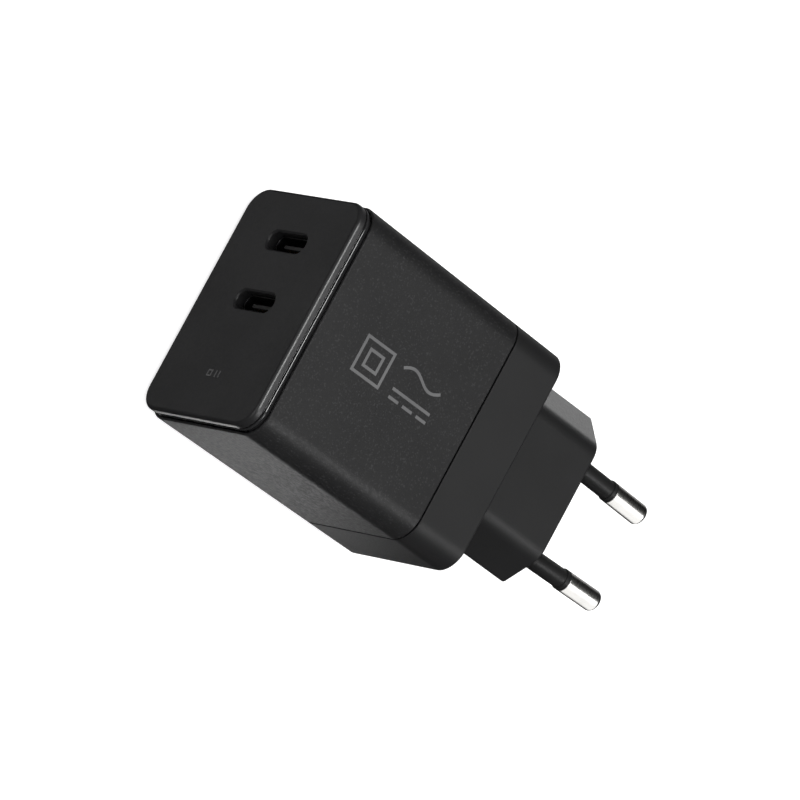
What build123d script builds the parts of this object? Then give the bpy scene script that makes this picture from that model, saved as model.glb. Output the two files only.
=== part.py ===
"""USB wall charger with two outlets and a fixed two-pin European plug.

Frame: the origin is the centre of the plug nose's end face, between the pins.
+X runs along the pin row, +Y points out of the nose with the pins and +Z is
square to a broad side. The charger lies on its -Z broad side.
"""

from build123d import *
import math
import os

# ---------------------------------------------------------------- driving dimensions, mm
# Housing
body_height = 44.5          # along X, at the front rim
body_thickness = 34.0       # along Z
body_draft = 1.8            # how much less the height is at the rear face
body_offset = 2.4           # the body's centre from the plug's centre, along X
body_depth = 48.0           # front rim to rear face, along Y
corner_radius = 4.7
wall = 1.9
rear_wall = 2.2
rear_edge_chamfer = 0.35
rear_section = 11.1         # rear face to the parting seam
seam_gap = 0.3
spigot_wall = 1.2
spigot_length = 5.0
spigot_root = 2.0           # how far the spigot runs back along the rear section's wall
rim_chamfer = 0.25
sliding_gap = 0.1           # clearance of pieces that slide into each other

# Front plate and its trim ring
plate_proud = 2.8           # the plate's face in front of the rim
plate_inset = 0.45
plate_edge_radius = 1.4
plate_thickness = 1.5
plate_floor = 2.2           # thickness of the plate round the outlets
skirt_wall = 1.0
skirt_length = 5.0          # behind the rim
ring_shadow = 0.35          # the recess between the plate and the lip
ring_lip = 0.45
neck_inset = 0.85
groove_depth = 1.0
rim_land = 0.4
rim_lean = 0.2
collar_length = 2.0
hook_height = 0.4
hook_length = 1.0
hook_width = 6.0

# Outlet sockets
port_count = 2
port_first = -12.5          # from the body's centre, along X
port_pitch = 11.6
port_long = 11.0
port_short = 3.5
port_chamfer = 0.3
shell_long = 8.94
shell_short = 3.16
shell_sheet = 0.25
shell_recess = 1.4          # the socket's mouth behind the plate's face
base_length = 3.6
tongue_width = 6.7
tongue_thickness = 0.7
tongue_short_of_mouth = 0.9
contact_count = 12
contact_pitch = 0.5
contact_width = 0.26
contact_thickness = 0.08
contact_set_back = 0.5      # from the tongue's tip

# Plug nose and pins
nose_length = 21.6
nose_half_length = 16.7     # to where the slanted faces would meet
nose_half_thickness = 6.7
nose_offset = -1.0
nose_slant = 49.0           # of the slanted faces from the broad ones, degrees
nose_edge_radius = 4.0
nose_tip_radius = 0.9
nose_wall = 1.8
nose_end_wall = 3.0
nose_end_radius = 0.5
pin_recess_diameter = 5.0
pin_recess_depth = 0.4
flange_width = 1.5
flange_thickness = 1.5
pin_diameter = 4.0
pin_length = 19.0
pin_spacing_base = 18.2
pin_spacing_tip = 17.3
pin_core_diameter = 2.8
pin_tip_radius = 0.9
pin_head_diameter = 5.0
pin_head_thickness = 1.0
sleeve_length = 11.0
sleeve_diameter = 3.6
sleeve_collar_length = 0.9
carrier_length = 5.5
carrier_width = 25.0
carrier_thickness = 7.4

# Boards
board_thickness = 1.2
board_underside = 3.0       # above the lower broad wall's inner face
board_margin = 1.2          # from the side walls
board_rear_gap = 3.0        # from the rear wall's inner face
rail_width = 2.2
usb_board_set_back = 9.0    # its front face behind the sockets' mouths
usb_board_margin = 0.8

# Parts on the mains board: sizes along X, Y and Z
core_size = (17.5, 11.5, 21.5)
core_leg = 4.2
core_window = 3.2
winding_gap = 0.3
bobbin_wall = 0.5
bulk_diameter = 10.0
bulk_height = 20.0
bulk_count = 2
choke_outer = 12.0
choke_inner = 6.0
choke_thickness = 5.0
choke_wire = 0.8
choke_turns = 7
choke_turn_angle = 24.0
choke_slack = 0.1
film_cap_size = (10.2, 6.0, 13.5)
disc_diameter = 7.0
disc_thickness = 3.0
fuse_diameter = 3.4
fuse_length = 7.0
rectifier_size = (3.2, 9.0, 7.0)
opto_size = (4.6, 6.5, 3.4)
polymer_diameter = 6.3
polymer_height = 11.0
part_gap = 0.8
lead_thickness = 0.5
lead_width = 1.6
lead_foot = 2.0
lead_overlap = 0.2          # how far the strip reaches into the pin's head
can_groove_height = 1.6
can_groove_radius = 0.35
case_chamfer = 0.3
disc_edge_share = 0.3
chip_height = 0.9
switch_size = (8.0, 8.0)
controller_size = (5.0, 6.0)
sync_size = (6.0, 5.0)
port_chip_size = 5.0
port_chip_z = 7.0
inductor_size = 6.4
inductor_height = 3.0
inductor_z = 5.0
inductor_chamfer = 0.8
small_part_size = (1.6, 0.8, 0.45)
small_part_pitch = 2.6
small_part_rows = 2
small_part_columns = 6
spreader_thickness = 0.6
sheet_thickness = 0.25
sheet_overlap = 0.6         # how far the film reaches past the spreader
pad_margin = 1.0            # inside the transformer's edge

# ---------------------------------------------------------------- places worked out from them
rear_y = -nose_length
rim_y = rear_y - body_depth
front_y = rim_y - plate_proud
seam_y = rear_y - rear_section
half_z = body_thickness / 2
inner_z = half_z - wall
skirt_inset = wall + hook_height + sliding_gap
lean = math.degrees(math.atan((pin_spacing_base - pin_spacing_tip) / 2 / pin_length))
mouth_y = front_y + shell_recess
usb_board_y = mouth_y + usb_board_set_back
port_places = [body_offset + port_first + i * port_pitch for i in range(port_count)]
board_z = -inner_z + board_underside + board_thickness
carrier_back = -nose_end_wall - carrier_length


def save(shape, node):
    """Write one node's shape to its STEP file."""
    export_step(shape, f"parts/{node}.step")


def plane_at(y, x=0.0, z=0.0):
    """A plane square to Y whose local x is +X and local y is +Z; it faces -Y."""
    return Plane(origin=(x, y, z), x_dir=(1, 0, 0), z_dir=(0, -1, 0))


def block(x0, x1, y0, y1, z0, z1):
    """A box between two corners."""
    place = Pos((x0 + x1) / 2, (y0 + y1) / 2, (z0 + z1) / 2)
    return place * Box(abs(x1 - x0), abs(y1 - y0), abs(z1 - z0))


def rod(axis, diameter, start, length):
    """A cylinder from start along +X, +Y or +Z."""
    turn = {"X": Rot(0, 90, 0), "Y": Rot(-90, 0, 0), "Z": Rot(0, 0, 0)}[axis]
    lift = Cylinder(diameter / 2, length, align=(Align.CENTER, Align.CENTER, Align.MIN))
    return Pos(*start) * turn * lift


def height_at(y):
    """The body's height along X at a given y."""
    share = (y - rear_y) / (rim_y - rear_y)
    return body_height - body_draft * (1 - share)


def outline(inset, height, thickness=body_thickness):
    """A rounded rectangle drawn inside the body's section by an inset."""
    radius = max(corner_radius - inset, 0.4)
    return RectangleRounded(height - 2 * inset, thickness - 2 * inset, radius)


def body_slice(inset, near, far):
    """A length of the body's tapering form between two planes, near being the rear one."""
    rear = height_at(near) / 2 - inset
    front = height_at(far) / 2 - inset
    side = Polyline((-rear, near), (rear, near), (front, far), (-front, far), close=True)
    half = half_z - inset
    form = Pos(body_offset, 0, -half) * extrude(make_face(side), 2 * half)
    corners = form.edges().filter_by(lambda edge: abs(edge.tangent_at(0.5).Y) > 0.9)
    return fillet(corners, max(corner_radius - inset, 0.4))


def body_bevel(inset_near, near, inset_far, far):
    """A length of the body's form whose inset changes between two planes."""
    rear = plane_at(near, body_offset) * outline(inset_near, height_at(near))
    front = plane_at(far, body_offset) * outline(inset_far, height_at(far))
    return loft(Sketch() + [rear, front])


def plate_slice(inset, near, far):
    """A straight length of the front plate's outline, near being the rear plane."""
    return extrude(plane_at(near, body_offset) * outline(inset, body_height), near - far)


def stadium(long, short):
    """A slot with round ends, its long way along Z."""
    return Rot(0, 0, 90) * SlotOverall(long, short)


# ---------------------------------------------------------------- housing
collar_back = rim_y + groove_depth + collar_length
collar_inset = skirt_inset - sliding_gap


def make_main_shell():
    """The textured sleeve with its rim, the collar that holds the front and the board rails."""
    near = seam_y - seam_gap
    shell = body_slice(0, near, rim_y)
    shell = chamfer(shell.faces().sort_by(Axis.Y)[0].edges(), rim_chamfer)
    shell -= body_slice(wall, near, collar_back)
    shell -= body_slice(collar_inset, collar_back, rim_y + groove_depth)
    shell -= body_bevel(rim_land + rim_lean, rim_y + groove_depth, rim_land, rim_y)
    rails = []
    for side in (-1, 1):
        reach = height_at(near) / 2 - wall
        inner = body_offset + side * (reach - board_margin - rail_width)
        outer = body_offset + side * (height_at(rim_y) / 2 - wall / 2)
        foot = block(inner, outer, board_front_y, near - spigot_length - sliding_gap,
                     -inner_z - wall / 2, -inner_z + board_underside)
        rails.append(foot & body_slice(wall / 2, near, rim_y))
    return shell + rails


def make_rear_shell():
    """The smooth rear section, its wall with the nose's opening, and the spigot."""
    shell = body_slice(0, rear_y, seam_y)
    shell = chamfer(shell.faces().sort_by(Axis.Y)[-1].edges(), rear_edge_chamfer)
    root_y = seam_y + spigot_root
    tip_y = seam_y - seam_gap - spigot_length
    shell -= body_slice(wall, rear_y - rear_wall, seam_y)
    spigot = body_slice(wall, root_y, tip_y)
    shell += spigot - body_slice(wall + spigot_wall, root_y, tip_y)
    opening = nose_section(sliding_gap)
    return shell - extrude(plane_at(rear_y, nose_offset) * opening, rear_wall)


def nose_section(grow):
    """The nose's six-sided outline, grown evenly all round."""
    slant = math.radians(nose_slant)
    tip = nose_half_length + grow / math.sin(slant)
    thick = nose_half_thickness + grow
    corner = tip - thick / math.tan(slant)
    upper = [(tip, 0), (corner, thick), (-corner, thick)]
    face = make_face(Polyline(*upper, *[(-x, -z) for x, z in upper], close=True))
    edges = face.vertices().filter_by(lambda point: abs(point.Y) > thick / 2)
    face = fillet(edges, max(nose_edge_radius + grow, 0.4))
    along = face.vertices().sort_by(Axis.X)
    return fillet([along[0], along[-1]], max(nose_tip_radius + grow, 0.4))


def nose_tube(grow, near, far):
    """A straight length of the nose's outline."""
    return extrude(plane_at(near, nose_offset) * nose_section(grow), near - far)


def make_plug_nose():
    """The hollow nose with its end wall, pin holes and the flange behind the rear wall."""
    flange_front = rear_y - rear_wall
    nose = nose_tube(0, 0, flange_front)
    end_edges = nose.faces().sort_by(Axis.Y)[-1].edges()
    nose = fillet(end_edges, nose_end_radius)
    flange_back = flange_front - flange_thickness
    flange = nose_tube(flange_width, flange_front, flange_back)
    nose += flange & body_slice(wall, flange_front, flange_back)
    nose -= nose_tube(-nose_wall, -nose_end_wall, flange_back)
    for side in (-1, 1):
        nose -= pin_rod(side, sleeve_diameter, -nose_end_wall - 1, nose_end_wall + 2)
        nose -= pin_rod(side, pin_recess_diameter, -pin_recess_depth, pin_recess_depth + 1)
        core_room = pin_core_diameter + 2 * sliding_gap
        nose -= pin_rod(side, core_room, carrier_back, carrier_length)
        head_room = pin_head_diameter + 2 * sliding_gap
        nose -= pin_rod(side, head_room, flange_back, carrier_back - flange_back)
    return nose


# ---------------------------------------------------------------- pins
def pin_place(side):
    """Where a pin's own axis stands: it leans towards the middle."""
    return Pos(side * pin_spacing_base / 2, 0, 0) * Rot(0, 0, side * lean)


def pin_rod(side, diameter, start, length):
    """A cylinder on a pin's leaning axis."""
    return pin_place(side) * rod("Y", diameter, (0, start, 0), length)


def make_pin(side):
    """A plated pin: full diameter at the tip, a thin core through the sleeve, a head behind."""
    tip = rod("Y", pin_diameter, (0, sleeve_length, 0), pin_length - sleeve_length)
    tip = fillet(tip.edges().sort_by(Axis.Y)[-1], pin_tip_radius)
    core = rod("Y", pin_core_diameter, (0, carrier_back, 0), sleeve_length - carrier_back)
    head_y = carrier_back - pin_head_thickness
    head = rod("Y", pin_head_diameter, (0, head_y, 0), pin_head_thickness)
    return pin_place(side) * (tip + core + head)


def make_pin_sleeve(side):
    """The insulating sleeve, with a slight collar where the bare metal starts."""
    start = sliding_gap - nose_end_wall
    tube = rod("Y", sleeve_diameter, (0, start, 0), sleeve_length - start)
    collar_y = sleeve_length - sleeve_collar_length
    tube += rod("Y", pin_diameter, (0, collar_y, 0), sleeve_collar_length)
    tube -= rod("Y", pin_core_diameter, (0, -nose_end_wall, 0), sleeve_length + nose_end_wall)
    return pin_place(side) * tube


def make_pin_carrier():
    """The moulded block behind the end wall that holds both pins."""
    half = carrier_width / 2
    body = nose_tube(-nose_wall, -nose_end_wall, carrier_back)
    body &= block(-half, half, carrier_back, -nose_end_wall,
                  -carrier_thickness / 2, carrier_thickness / 2)
    for side in (-1, 1):
        body -= pin_rod(side, pin_core_diameter, carrier_back - 1, carrier_length + 2)
        head_y = carrier_back - pin_head_thickness
        body -= pin_rod(side, pin_head_diameter, head_y, pin_head_thickness)
    return body


def make_mains_lead(side):
    """The strip from a pin's head back through the nose and down to the mains board."""
    x = side * pin_spacing_base / 2 - side * math.tan(math.radians(lean)) * carrier_back
    bend_y = board_rear_y + lead_thickness * 2
    front = carrier_back - pin_head_thickness + lead_overlap
    half = lead_width / 2
    strip = block(x - half, x + half, bend_y, front, -lead_thickness / 2, lead_thickness / 2)
    strip += block(x - half, x + half, bend_y, bend_y + lead_thickness,
                   board_z, lead_thickness / 2)
    strip += block(x - half, x + half, board_rear_y - lead_foot, bend_y + lead_thickness,
                   board_z, board_z + lead_thickness)
    return strip - pin_rod(side, pin_head_diameter, carrier_back - pin_head_thickness,
                           pin_head_thickness)


# ---------------------------------------------------------------- front
def make_front_plate():
    """The satin front: a pillow-edged slab on a skirt that hooks behind the shell's collar."""
    step_y = front_y + plate_thickness
    slab = plate_slice(plate_inset, step_y, front_y)
    slab = fillet(slab.faces().sort_by(Axis.Y)[0].edges(), plate_edge_radius)
    skirt_y = rim_y + skirt_length
    slab += plate_slice(skirt_inset, skirt_y, step_y)
    slab -= plate_slice(skirt_inset + skirt_wall, skirt_y, front_y + plate_floor)
    reach = body_thickness / 2 - skirt_inset
    for side in (-1, 1):
        for x in (-body_height / 4, body_height / 4):
            low = side * (reach - skirt_wall / 2)
            high = side * (reach + hook_height)
            slab += block(body_offset + x - hook_width / 2, body_offset + x + hook_width / 2,
                          collar_back, collar_back + hook_length, min(low, high), max(low, high))
    for x in port_places:
        hole = stadium(port_long, port_short)
        slab -= extrude(plane_at(skirt_y, x) * hole, skirt_y - front_y)
        wide = plane_at(front_y, x) * stadium(port_long + 2 * port_chamfer,
                                              port_short + 2 * port_chamfer)
        narrow = plane_at(front_y + port_chamfer, x) * hole
        slab -= loft(Sketch() + [narrow, wide])
    return slab


def make_trim_ring():
    """The glossy ring: a lip set apart from the plate, on a neck that sits on the collar."""
    top_y = front_y + plate_thickness
    lip_y = top_y + ring_shadow
    seat_y = rim_y + groove_depth
    ring = plate_slice(neck_inset, seat_y, top_y)
    ring += plate_slice(plate_inset, lip_y + ring_lip, lip_y)
    return ring - plate_slice(skirt_inset, seat_y, top_y)


# ---------------------------------------------------------------- outlet sockets
def socket_tube(x, long, short, near, far):
    """A straight length of a socket's stadium outline."""
    return extrude(plane_at(near, x) * stadium(long, short), near - far)


def make_socket_shell(x):
    """The pressed metal shell of one outlet."""
    hollow = socket_tube(x, shell_long - 2 * shell_sheet, shell_short - 2 * shell_sheet,
                         usb_board_y, mouth_y)
    return socket_tube(x, shell_long, shell_short, usb_board_y, mouth_y) - hollow


def make_socket_insulator(x):
    """The moulded base that fills the shell's rear, with the tongue the plug slides over."""
    base = socket_tube(x, shell_long - 2 * shell_sheet, shell_short - 2 * shell_sheet,
                       usb_board_y, usb_board_y - base_length)
    tongue = block(x - tongue_thickness / 2, x + tongue_thickness / 2,
                   mouth_y + tongue_short_of_mouth, usb_board_y - base_length / 2,
                   -tongue_width / 2, tongue_width / 2)
    return base + tongue


def make_socket_contacts(x):
    """Two rows of gold contacts on the tongue's faces."""
    far = mouth_y + tongue_short_of_mouth + contact_set_back
    near = usb_board_y - base_length
    first = -(contact_count - 1) * contact_pitch / 2
    rows = []
    for side in (-1, 1):
        face = x + side * tongue_thickness / 2
        for i in range(contact_count):
            z = first + i * contact_pitch
            rows.append(block(face, face + side * contact_thickness, far, near,
                              z - contact_width / 2, z + contact_width / 2))
    return Compound(children=rows)


# ---------------------------------------------------------------- boards
board_rear_y = rear_y - rear_wall - board_rear_gap
board_front_y = usb_board_y + board_thickness
board_half = height_at(board_rear_y) / 2 - wall - board_margin
board_x0 = body_offset - board_half
board_x1 = body_offset + board_half


def make_mains_board():
    """The mains board, on the rails along the lower broad wall."""
    return block(board_x0, board_x1, board_front_y, board_rear_y,
                 board_z - board_thickness, board_z)


def make_usb_board():
    """The upright board behind the outlets."""
    half = height_at(usb_board_y + board_thickness) / 2 - wall - usb_board_margin
    high = inner_z - usb_board_margin
    return block(body_offset - half, body_offset + half, usb_board_y,
                 usb_board_y + board_thickness, -high, high)


# ---------------------------------------------------------------- parts on the boards
core_x = board_x1 - core_size[0] / 2 - part_gap
core_top = board_z + core_size[2]
window_width = (core_size[0] - 2 * core_leg) / 2 - core_leg / 4
winding_half = core_size[1] / 2 + window_width / 2
parts_front_y = board_front_y + chip_height + part_gap
core_y = parts_front_y + polymer_diameter + part_gap + winding_half
bulk_x = board_x0 + part_gap + bulk_diameter / 2
bulk_y = parts_front_y + bulk_diameter / 2
choke_x = board_x1 - part_gap - choke_wire - choke_outer / 2
choke_y = core_y + winding_half + part_gap + choke_wire + choke_thickness / 2
choke_z = board_z + choke_outer / 2 + choke_wire


sheet_half = height_at(seam_y) / 2 - corner_radius - sliding_gap
spreader_rear_y = seam_y - seam_gap - spigot_length - 2 * sheet_overlap


def make_transformer_core():
    """Two E-shaped ferrite halves that meet in the winding's middle."""
    sx, sy, sz = core_size
    halves = []
    for side in (-1, 1):
        low = board_z if side < 0 else board_z + sz / 2
        high = low + sz / 2
        half = block(core_x - sx / 2, core_x + sx / 2, core_y - sy / 2, core_y + sy / 2,
                     low, high)
        for arm in (-1, 1):
            inner = core_x + arm * core_leg / 2
            outer = core_x + arm * (core_leg / 2 + window_width)
            bottom = low + core_window if side < 0 else low
            top = high if side < 0 else high - core_window
            half -= block(min(inner, outer), max(inner, outer), core_y - sy / 2,
                          core_y + sy / 2, bottom, top)
        halves.append(half)
    return Compound(children=halves)


def make_transformer_bobbin():
    """The spool round the core's middle leg, with a flange at each end."""
    sx, sy, sz = core_size
    low = board_z + core_window
    high = board_z + sz - core_window
    leg = core_leg / 2
    reach = leg + window_width
    spool = block(core_x - leg - bobbin_wall, core_x + leg + bobbin_wall,
                  core_y - sy / 2 - bobbin_wall, core_y + sy / 2 + bobbin_wall, low, high)
    for z in (low, high - bobbin_wall):
        spool += block(core_x - reach, core_x + reach, core_y - winding_half,
                       core_y + winding_half, z, z + bobbin_wall)
    return spool - block(core_x - leg, core_x + leg, core_y - sy / 2, core_y + sy / 2, low, high)


def make_transformer_winding():
    """The taped winding that fills the spool."""
    sx, sy, sz = core_size
    low = board_z + core_window + bobbin_wall
    high = board_z + sz - core_window - bobbin_wall
    leg = core_leg / 2 + bobbin_wall
    reach = core_leg / 2 + window_width - winding_gap
    long = winding_half - winding_gap
    coil = block(core_x - reach, core_x + reach, core_y - long, core_y + long, low, high)
    return coil - block(core_x - leg, core_x + leg, core_y - sy / 2 - bobbin_wall,
                        core_y + sy / 2 + bobbin_wall, low, high)


def make_bulk_capacitors():
    """The mains reservoir capacitors, standing on the board one behind the other."""
    cans = []
    for i in range(bulk_count):
        y = bulk_y + i * (bulk_diameter + part_gap)
        can = rod("Z", bulk_diameter, (bulk_x, y, board_z), bulk_height)
        ring = Torus(bulk_diameter / 2, can_groove_radius)
        cans.append(can - Pos(bulk_x, y, board_z + can_groove_height) * ring)
    return Compound(children=cans)


def make_choke_core():
    """The common-mode choke's ferrite ring, standing on edge."""
    start = (choke_x, choke_y - choke_thickness / 2, choke_z)
    ring = rod("Y", choke_outer, start, choke_thickness)
    return ring - rod("Y", choke_inner, start, choke_thickness)


def make_choke_windings():
    """The choke's two windings, each a row of closed turns round the ring."""
    turns = []
    middle = (choke_outer + choke_inner) / 4
    width = (choke_outer - choke_inner) / 2
    for side in (0, 180):
        for i in range(choke_turns):
            angle = side + (i - (choke_turns - 1) / 2) * choke_turn_angle
            hole_x = width + 2 * choke_slack
            hole_y = choke_thickness + 2 * choke_slack
            outer = Box(width + 2 * choke_wire, choke_thickness + 2 * choke_wire, choke_wire)
            turn = outer - Box(hole_x, hole_y, choke_wire)
            place = Pos(choke_x, choke_y, choke_z) * Rot(0, angle, 0) * Pos(middle, 0, 0)
            turns.append(place * turn)
    return Compound(children=turns)


film_y = board_rear_y - lead_foot - part_gap - film_cap_size[1] / 2


def make_film_capacitor():
    """The mains filter's film capacitor, across the board's rear."""
    sx, sy, sz = film_cap_size
    x0 = board_x0 + part_gap
    case = block(x0, x0 + sx, film_y - sy / 2, film_y + sy / 2, board_z, board_z + sz)
    return chamfer(case.faces().sort_by(Axis.Z)[-1].edges(), case_chamfer)


middle_x0 = board_x0 + 2 * part_gap + bulk_diameter
opto_y1 = parts_front_y + opto_size[1]
rectifier_y1 = opto_y1 + part_gap + rectifier_size[1]


def make_disc_capacitor():
    """The disc capacitor that bridges the two sides, standing beside the film capacitor."""
    x = board_x0 + 2 * part_gap + film_cap_size[0] + disc_diameter / 2
    start = (x, film_y - disc_thickness / 2, board_z + disc_diameter / 2)
    disc = rod("Y", disc_diameter, start, disc_thickness)
    return fillet(disc.edges(), disc_thickness * disc_edge_share)


def make_fuse():
    """The tubular fuse, lying behind the bridge rectifier."""
    x = middle_x0 + fuse_diameter / 2
    start = (x, rectifier_y1 + part_gap, board_z + fuse_diameter / 2)
    return rod("Y", fuse_diameter, start, fuse_length)


def make_bridge_rectifier():
    """The bridge rectifier, standing beside the transformer."""
    sx, sy, sz = rectifier_size
    case = block(middle_x0, middle_x0 + sx, rectifier_y1 - sy, rectifier_y1,
                 board_z, board_z + sz)
    return chamfer(case.faces().sort_by(Axis.Z)[-1].edges(), case_chamfer)


def make_optocoupler():
    """The optocoupler, beside the reservoir capacitors."""
    sx, sy, sz = opto_size
    return block(middle_x0, middle_x0 + sx, opto_y1 - sy, opto_y1, board_z, board_z + sz)


def make_output_capacitors():
    """The two polymer capacitors on the low-voltage side."""
    cans = []
    y = parts_front_y + polymer_diameter / 2
    for i in range(2):
        x = board_x1 - part_gap - polymer_diameter / 2 - i * (polymer_diameter + part_gap)
        cans.append(rod("Z", polymer_diameter, (x, y, board_z), polymer_height))
    return Compound(children=cans)


def chip_under(x, y, size):
    """A flat chip on the mains board's underside."""
    top = board_z - board_thickness
    return block(x - size[0] / 2, x + size[0] / 2, y - size[1] / 2, y + size[1] / 2,
                 top - chip_height, top)


def make_power_switch():
    """The mains switching transistor, under the transformer."""
    return chip_under(core_x - switch_size[0] / 2, core_y, switch_size)


def make_primary_controller():
    """The mains side's controller chip, under the first reservoir capacitor."""
    return chip_under(bulk_x, bulk_y + controller_size[1] / 2, controller_size)


def make_synchronous_rectifier():
    """The low-voltage side's rectifier chip, under the polymer capacitors."""
    y = board_front_y + part_gap + sync_size[1] / 2
    return chip_under(core_x + sync_size[0] / 2, y, sync_size)


def make_port_controllers():
    """The two controller chips on the upright board's rear."""
    rear = usb_board_y + board_thickness
    half = port_chip_size / 2
    chips = []
    for x in port_places:
        chips.append(block(x - half, x + half, rear, rear + chip_height,
                           port_chip_z - half, port_chip_z + half))
    return Compound(children=chips)


def make_port_inductors():
    """The two shielded inductors on the upright board's front, beyond the outlets."""
    x = port_places[-1] + port_pitch
    half = inductor_size / 2
    coils = []
    for z in (-inductor_z, inductor_z):
        coil = block(x - half, x + half, usb_board_y - inductor_height, usb_board_y,
                     z - half, z + half)
        coils.append(chamfer(coil.edges().filter_by(Axis.Y), inductor_chamfer))
    return Compound(children=coils)


def make_small_parts():
    """Chip resistors and capacitors in rows on the mains board's underside."""
    top = board_z - board_thickness
    sx, sy, sz = small_part_size
    middle = (small_part_columns - 1) / 2
    pieces = []
    for row in range(small_part_rows):
        for i in range(small_part_columns):
            x = body_offset + (i - middle) * small_part_pitch
            y = board_rear_y - lead_foot - (row + 1) * small_part_pitch
            pieces.append(block(x - sx / 2, x + sx / 2, y - sy / 2, y + sy / 2, top - sz, top))
    return Compound(children=pieces)


def make_thermal_pad():
    """The soft pad between the transformer and the heat spreader."""
    sx, sy, sz = core_size
    high = inner_z - sheet_thickness - spreader_thickness
    rear = min(core_y + sy / 2 - pad_margin, spreader_rear_y)
    return block(core_x - sx / 2 + pad_margin, core_x + sx / 2 - pad_margin,
                 core_y - sy / 2 + pad_margin, rear, core_top, high)


def make_heat_spreader():
    """The aluminium sheet under the upper broad wall."""
    top = inner_z - sheet_thickness
    return block(body_offset - sheet_half + sheet_overlap, body_offset + sheet_half - sheet_overlap,
                 board_front_y + 2 * sheet_overlap, spreader_rear_y,
                 top - spreader_thickness, top)


def make_insulation_sheet():
    """The film between the heat spreader and the upper broad wall."""
    return block(body_offset - sheet_half, body_offset + sheet_half,
                 board_front_y + sheet_overlap, spreader_rear_y + sheet_overlap,
                 inner_z - sheet_thickness, inner_z)


def main():
    """Make every node and write it."""
    os.makedirs("parts", exist_ok=True)
    save(make_main_shell(), "main_shell")
    save(make_rear_shell(), "rear_shell")
    save(make_plug_nose(), "plug_nose")
    save(make_front_plate(), "front_plate")
    save(make_trim_ring(), "trim_ring")
    save(make_pin_carrier(), "pin_carrier")
    for side, name in ((-1, "left"), (1, "right")):
        save(make_pin(side), f"{name}_pin")
        save(make_pin_sleeve(side), f"{name}_pin_sleeve")
        save(make_mains_lead(side), f"{name}_mains_lead")
    for i, x in enumerate(port_places, start=1):
        save(make_socket_shell(x), f"outlet_{i}_shell")
        save(make_socket_insulator(x), f"outlet_{i}_insulator")
        save(make_socket_contacts(x), f"outlet_{i}_contacts")
    save(make_mains_board(), "mains_board")
    save(make_usb_board(), "outlet_board")
    save(make_transformer_core(), "transformer_core")
    save(make_transformer_bobbin(), "transformer_bobbin")
    save(make_transformer_winding(), "transformer_winding")
    save(make_bulk_capacitors(), "bulk_capacitors")
    save(make_choke_core(), "choke_core")
    save(make_choke_windings(), "choke_windings")
    save(make_film_capacitor(), "film_capacitor")
    save(make_disc_capacitor(), "disc_capacitor")
    save(make_fuse(), "fuse")
    save(make_bridge_rectifier(), "bridge_rectifier")
    save(make_optocoupler(), "optocoupler")
    save(make_output_capacitors(), "output_capacitors")
    save(make_power_switch(), "power_switch")
    save(make_primary_controller(), "primary_controller")
    save(make_synchronous_rectifier(), "synchronous_rectifier")
    save(make_port_controllers(), "outlet_controllers")
    save(make_port_inductors(), "outlet_inductors")
    save(make_small_parts(), "small_parts")
    save(make_thermal_pad(), "thermal_pad")
    save(make_heat_spreader(), "heat_spreader")
    save(make_insulation_sheet(), "insulation_sheet")


if __name__ == "__main__":
    main()
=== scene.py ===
"""Scene for a USB wall charger with two upright outlets and a fixed two-pin plug.

Each visible piece is a surface worked out around the frame's own places, and
every part inside the housing keeps its frame solid and gets a finish of its own.
"""
import logging
import math
from dataclasses import dataclass
from enum import Enum

import bmesh
import bpy
import numpy as np
from mathutils import Matrix, Vector
from mathutils.geometry import tessellate_polygon


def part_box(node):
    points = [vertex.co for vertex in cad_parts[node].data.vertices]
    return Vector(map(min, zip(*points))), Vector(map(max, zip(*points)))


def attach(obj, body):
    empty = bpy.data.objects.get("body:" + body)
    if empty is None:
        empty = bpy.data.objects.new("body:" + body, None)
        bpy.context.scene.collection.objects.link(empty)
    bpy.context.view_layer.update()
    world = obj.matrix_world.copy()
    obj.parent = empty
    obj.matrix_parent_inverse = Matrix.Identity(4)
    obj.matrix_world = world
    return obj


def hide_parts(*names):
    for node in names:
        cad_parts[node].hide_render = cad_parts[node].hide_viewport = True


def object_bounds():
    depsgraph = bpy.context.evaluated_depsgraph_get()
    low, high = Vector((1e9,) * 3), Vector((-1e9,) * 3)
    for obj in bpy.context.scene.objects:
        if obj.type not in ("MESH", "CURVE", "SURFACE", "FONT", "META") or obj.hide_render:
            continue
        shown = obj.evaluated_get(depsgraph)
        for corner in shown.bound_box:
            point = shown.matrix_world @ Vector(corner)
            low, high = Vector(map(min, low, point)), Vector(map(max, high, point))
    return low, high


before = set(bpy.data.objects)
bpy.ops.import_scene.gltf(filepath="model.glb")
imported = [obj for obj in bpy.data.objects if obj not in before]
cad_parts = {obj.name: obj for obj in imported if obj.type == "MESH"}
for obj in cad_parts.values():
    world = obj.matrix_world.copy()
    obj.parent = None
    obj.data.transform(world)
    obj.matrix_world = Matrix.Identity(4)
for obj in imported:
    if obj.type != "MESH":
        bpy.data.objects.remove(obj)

MM = 0.001
HAIR = 0.02 * MM            # keeps two pieces that share a face from flickering
EDGE = 0.05 * MM            # the rounding of an edge that is meant to look sharp
STEP = 0.12 * MM            # the rounding of a plain step
SOFT = 0.08 * MM            # the rounding of a small moulded edge
FLAT = 0.3 * MM             # how far a mouth's wall runs into the flat face round it
BODY = "root"
SPIGOT_REACH = 5.3 * MM     # the spigot's length and the seam's gap
FRAME_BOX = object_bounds()
LOG = logging.getLogger("charger")

Array = np.ndarray
Socket = bpy.types.NodeSocket
Material = bpy.types.Material
Piece = bpy.types.Object
Colour = tuple[float, float, float]


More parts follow.
